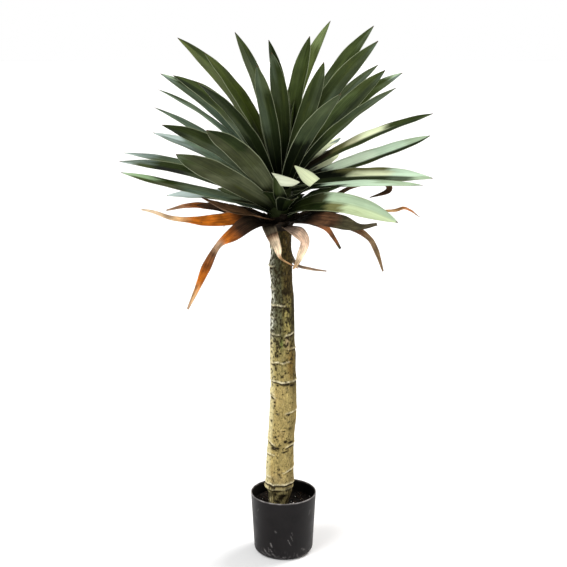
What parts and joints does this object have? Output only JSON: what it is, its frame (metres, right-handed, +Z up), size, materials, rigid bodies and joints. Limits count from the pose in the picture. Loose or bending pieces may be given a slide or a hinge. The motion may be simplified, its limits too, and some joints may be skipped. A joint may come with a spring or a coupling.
{
  "type": "potted yucca",
  "caption": "Tall indoor plant in a round tapered pot: a bare ringed trunk rises from the soil to a head of long pointed sword-shaped leaves, with dry curled leaves hanging under it.",
  "frame": {"origin": "centre of the pot's flat underside, where the plant stands", "axes": "+Z up the trunk, -Y toward the viewer of the picture, +X to the viewer's right"},
  "size_m": [0.8747, 0.803, 1.5193],
  "materials": {
    "black_plastic": "satin black moulded plastic",
    "soil": null,
    "bark": "rough khaki-grey bark with ring scars",
    "green_leaf": null,
    "dry_leaf": "dry papery brown leaf"
  },
  "bodies": {
    "root": {"pot": "black_plastic", "soil": "soil", "trunk": "bark", "leaf_head": "green_leaf", "dry_leaves": "dry_leaf"}
  },
  "joints": []
}
